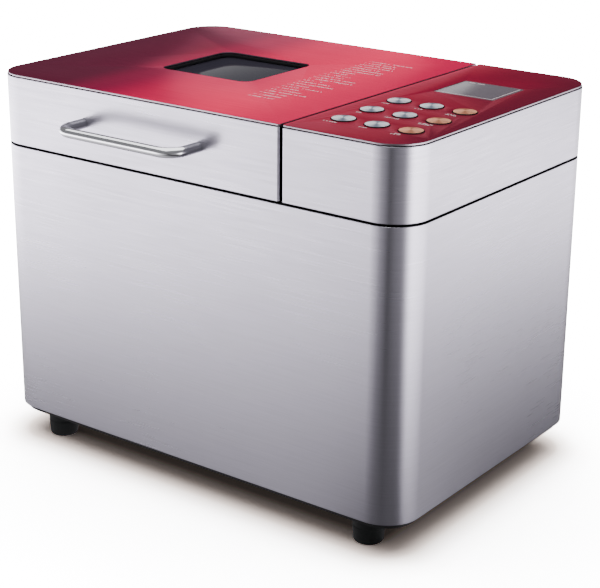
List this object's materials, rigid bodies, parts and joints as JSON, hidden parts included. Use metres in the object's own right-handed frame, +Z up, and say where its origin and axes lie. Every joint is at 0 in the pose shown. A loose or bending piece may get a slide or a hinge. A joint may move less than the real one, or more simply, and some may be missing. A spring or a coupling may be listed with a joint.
{
  "type": "bread machine",
  "caption": "Countertop bread machine with a hinged window lid, a key panel, an oven chamber and a lift-out pan with a belt-driven kneading paddle.",
  "frame": {"origin": "on the standing surface, below the middle of the overall box", "axes": "+X to the right seen from the front, +Y to the back, +Z up"},
  "size_m": [0.38, 0.2991, 0.3013],
  "materials": {
    "casing_steel": "finely brushed along the length, satin",
    "black_plastic": "moulded, fine grain",
    "foot_rubber": "matt",
    "plated_steel": "zinc plated",
    "oven_steel": "aluminised sheet",
    "element_steel": "dark heat-stained tube",
    "cast_aluminium": "cast, slightly rough",
    "circuit_board": "solder resist",
    "white_plastic": "natural nylon",
    "belt_rubber": "matt",
    "red_plate": "red lacquer over brushed metal, satin",
    "display_glass": "grey display window",
    "window_glass": "smoked",
    "hinge_black": "black powder coat",
    "seal_silicone": "silicone",
    "polished_chrome": "polished",
    "shaft_steel": "turned",
    "non_stick": "dark non-stick coating",
    "button_silver": "spun, concentric lines",
    "button_copper": "spun, copper coloured"
  },
  "bodies": {
    "casing": {"body_shell": "casing_steel", "base_plate": "black_plastic", "foot_front_left": "foot_rubber", "foot_front_right": "foot_rubber", "foot_rear_left": "foot_rubber", "foot_rear_right": "foot_rubber", "top_deck": "black_plastic", "chassis_plate": "plated_steel", "oven_chamber": "oven_steel", "heating_element": "element_steel", "temperature_sensor": "plated_steel", "cord_inlet": "black_plastic", "pan_seat": "cast_aluminium", "drive_bearing": "cast_aluminium", "motor_housing": "cast_aluminium", "motor_bracket": "plated_steel", "power_board": "circuit_board", "motor_capacitor": "white_plastic", "drive_belt": "belt_rubber", "control_shell": "casing_steel", "control_frame": "black_plastic", "panel_plate": "red_plate", "display_lens": "display_glass", "display_module": "white_plastic", "control_board": "circuit_board", "hinge_leaf_body_left": "hinge_black", "hinge_leaf_body_right": "hinge_black", "hinge_pin_left": "plated_steel", "hinge_pin_right": "plated_steel"},
    "lid": {"lid_shell": "casing_steel", "lid_frame": "black_plastic", "lid_top_plate": "red_plate", "lid_window": "window_glass", "lid_cover": "oven_steel", "lid_inner_pane": "window_glass", "lid_seal": "seal_silicone", "lid_handle": "polished_chrome", "handle_screw_left": "plated_steel", "handle_screw_right": "plated_steel", "hinge_leaf_lid_left": "hinge_black", "hinge_leaf_lid_right": "hinge_black"},
    "button_1_1": {"button_1_1": "button_silver"},
    "button_1_2": {"button_1_2": "button_silver"},
    "button_1_3": {"button_1_3": "button_copper"},
    "button_2_1": {"button_2_1": "button_silver"},
    "button_2_2": {"button_2_2": "button_silver"},
    "button_2_3": {"button_2_3": "button_copper"},
    "button_3_1": {"button_3_1": "button_silver"},
    "button_3_2": {"button_3_2": "button_silver"},
    "button_3_3": {"button_3_3": "button_copper"},
    "pan": {"bread_pan": "non_stick", "pan_base": "cast_aluminium"},
    "bail": {"pan_bail": "polished_chrome"},
    "paddle": {"pan_spindle": "shaft_steel", "kneading_paddle": "non_stick"},
    "drive": {"drive_shaft": "shaft_steel", "large_pulley": "white_plastic"},
    "rotor": {"motor_shaft": "shaft_steel", "motor_pulley": "shaft_steel", "motor_fan": "white_plastic"}
  },
  "joints": [
    {"name": "lid_hinge", "type": "hinge", "parent": "casing", "child": "lid", "pos_m": [0, 0.14515, 0.245], "axis": [-1, 0, 0], "range_deg": [0, 95]},
    {"name": "button_1_1_press", "type": "slide", "parent": "casing", "child": "button_1_1", "axis": [0, 0, -1], "range_m": [0, 0.001], "stiffness_N_per_m": 300, "springref_m": -0.003},
    {"name": "button_1_2_press", "type": "slide", "parent": "casing", "child": "button_1_2", "axis": [0, 0, -1], "range_m": [0, 0.001], "stiffness_N_per_m": 300, "springref_m": -0.003},
    {"name": "button_1_3_press", "type": "slide", "parent": "casing", "child": "button_1_3", "axis": [0, 0, -1], "range_m": [0, 0.001], "stiffness_N_per_m": 300, "springref_m": -0.003},
    {"name": "button_2_1_press", "type": "slide", "parent": "casing", "child": "button_2_1", "axis": [0, 0, -1], "range_m": [0, 0.001], "stiffness_N_per_m": 300, "springref_m": -0.003},
    {"name": "button_2_2_press", "type": "slide", "parent": "casing", "child": "button_2_2", "axis": [0, 0, -1], "range_m": [0, 0.001], "stiffness_N_per_m": 300, "springref_m": -0.003},
    {"name": "button_2_3_press", "type": "slide", "parent": "casing", "child": "button_2_3", "axis": [0, 0, -1], "range_m": [0, 0.001], "stiffness_N_per_m": 300, "springref_m": -0.003},
    {"name": "button_3_1_press", "type": "slide", "parent": "casing", "child": "button_3_1", "axis": [0, 0, -1], "range_m": [0, 0.001], "stiffness_N_per_m": 300, "springref_m": -0.003},
    {"name": "button_3_2_press", "type": "slide", "parent": "casing", "child": "button_3_2", "axis": [0, 0, -1], "range_m": [0, 0.001], "stiffness_N_per_m": 300, "springref_m": -0.003},
    {"name": "button_3_3_press", "type": "slide", "parent": "casing", "child": "button_3_3", "axis": [0, 0, -1], "range_m": [0, 0.001], "stiffness_N_per_m": 300, "springref_m": -0.003},
    {"name": "pan_lift", "type": "slide", "parent": "casing", "child": "pan", "axis": [0, 0, 1], "range_m": [0, 0.04]},
    {"name": "bail_swing", "type": "hinge", "parent": "pan", "child": "bail", "pos_m": [-0.0545, 0.01215, 0.2], "axis": [1, 0, 0], "range_deg": [0, 180]},
    {"name": "drive_spin", "type": "hinge", "parent": "casing", "child": "drive", "pos_m": [-0.0545, 0.01215, 0.045], "axis": [0, 0, 1], "continuous": true},
    {"name": "paddle_spin", "type": "hinge", "parent": "pan", "child": "paddle", "pos_m": [-0.0545, 0.01215, 0.08], "axis": [0, 0, 1], "continuous": true},
    {"name": "rotor_spin", "type": "hinge", "parent": "casing", "child": "rotor", "pos_m": [0.118, 0.01215, 0.07], "axis": [0, 0, 1], "continuous": true}
  ],
  "couplings": [
    {"joint": "paddle_spin", "follows": "drive_spin", "ratio": 1},
    {"joint": "rotor_spin", "follows": "drive_spin", "ratio": 6.2027}
  ]
}
